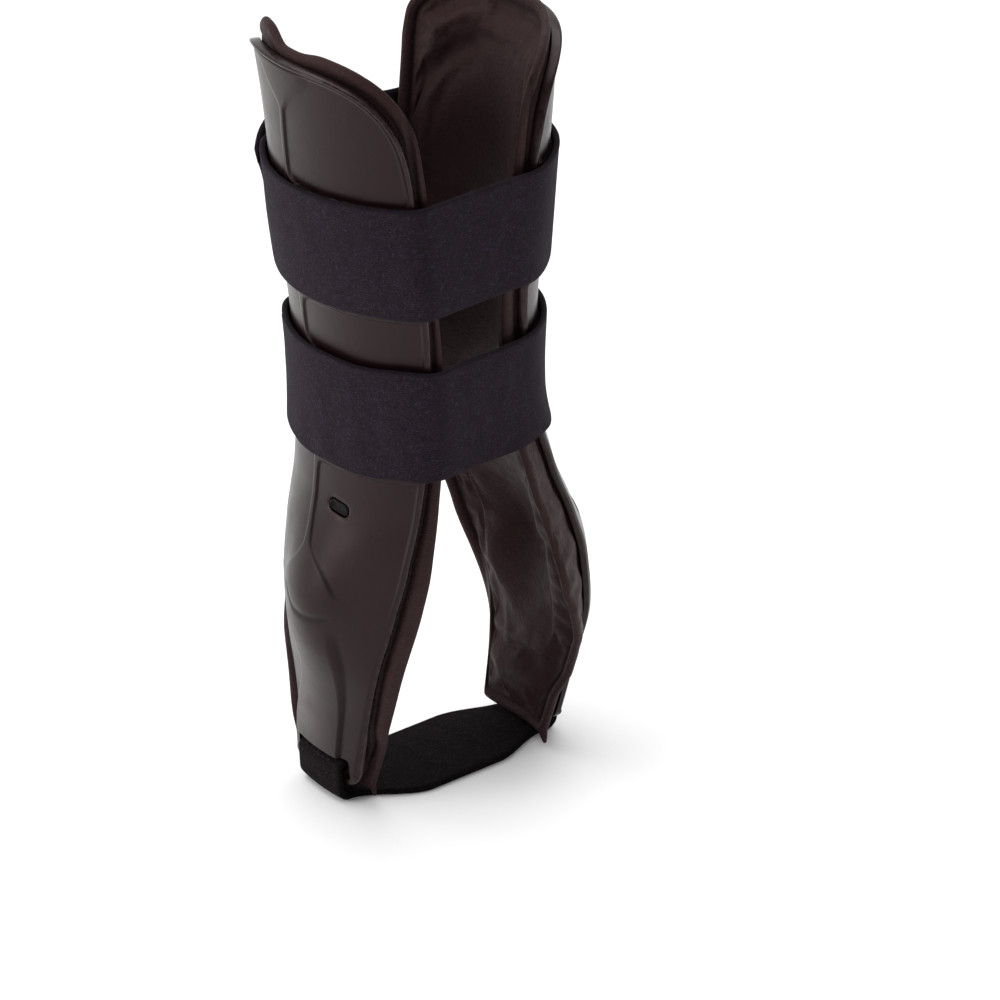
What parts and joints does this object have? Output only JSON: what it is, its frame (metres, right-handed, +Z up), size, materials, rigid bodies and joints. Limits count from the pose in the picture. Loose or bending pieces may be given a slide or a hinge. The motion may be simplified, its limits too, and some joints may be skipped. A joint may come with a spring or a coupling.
{
  "type": "stirrup ankle brace",
  "caption": "Ankle brace with two rigid contoured side shells, padded liners, wrap straps round the leg and a strap under the heel.",
  "frame": {"origin": "on the underside of the heel strap, midway between the shells", "axes": "+Z up the leg, -Y towards the toes, -X towards the outside of a right foot"},
  "size_m": [0.1074, 0.0888, 0.2794],
  "materials": {
    "shell_plastic": "semi-gloss moulded charcoal plastic with fine grain",
    "liner_pad": "soft matte coated fabric over foam, welded rim",
    "strap_loop": "brushed loop pile, matte",
    "heel_webbing": "brushed loop strap, matte",
    "plug_rubber": "smooth dark rubber"
  },
  "bodies": {
    "root": {"shell_lateral": "shell_plastic", "shell_medial": "shell_plastic", "liner_lateral": "liner_pad", "liner_medial": "liner_pad", "valve_lateral": "plug_rubber", "valve_medial": "plug_rubber", "strap_upper": "strap_loop", "strap_lower": "strap_loop", "heel_strap": "heel_webbing"}
  },
  "joints": []
}
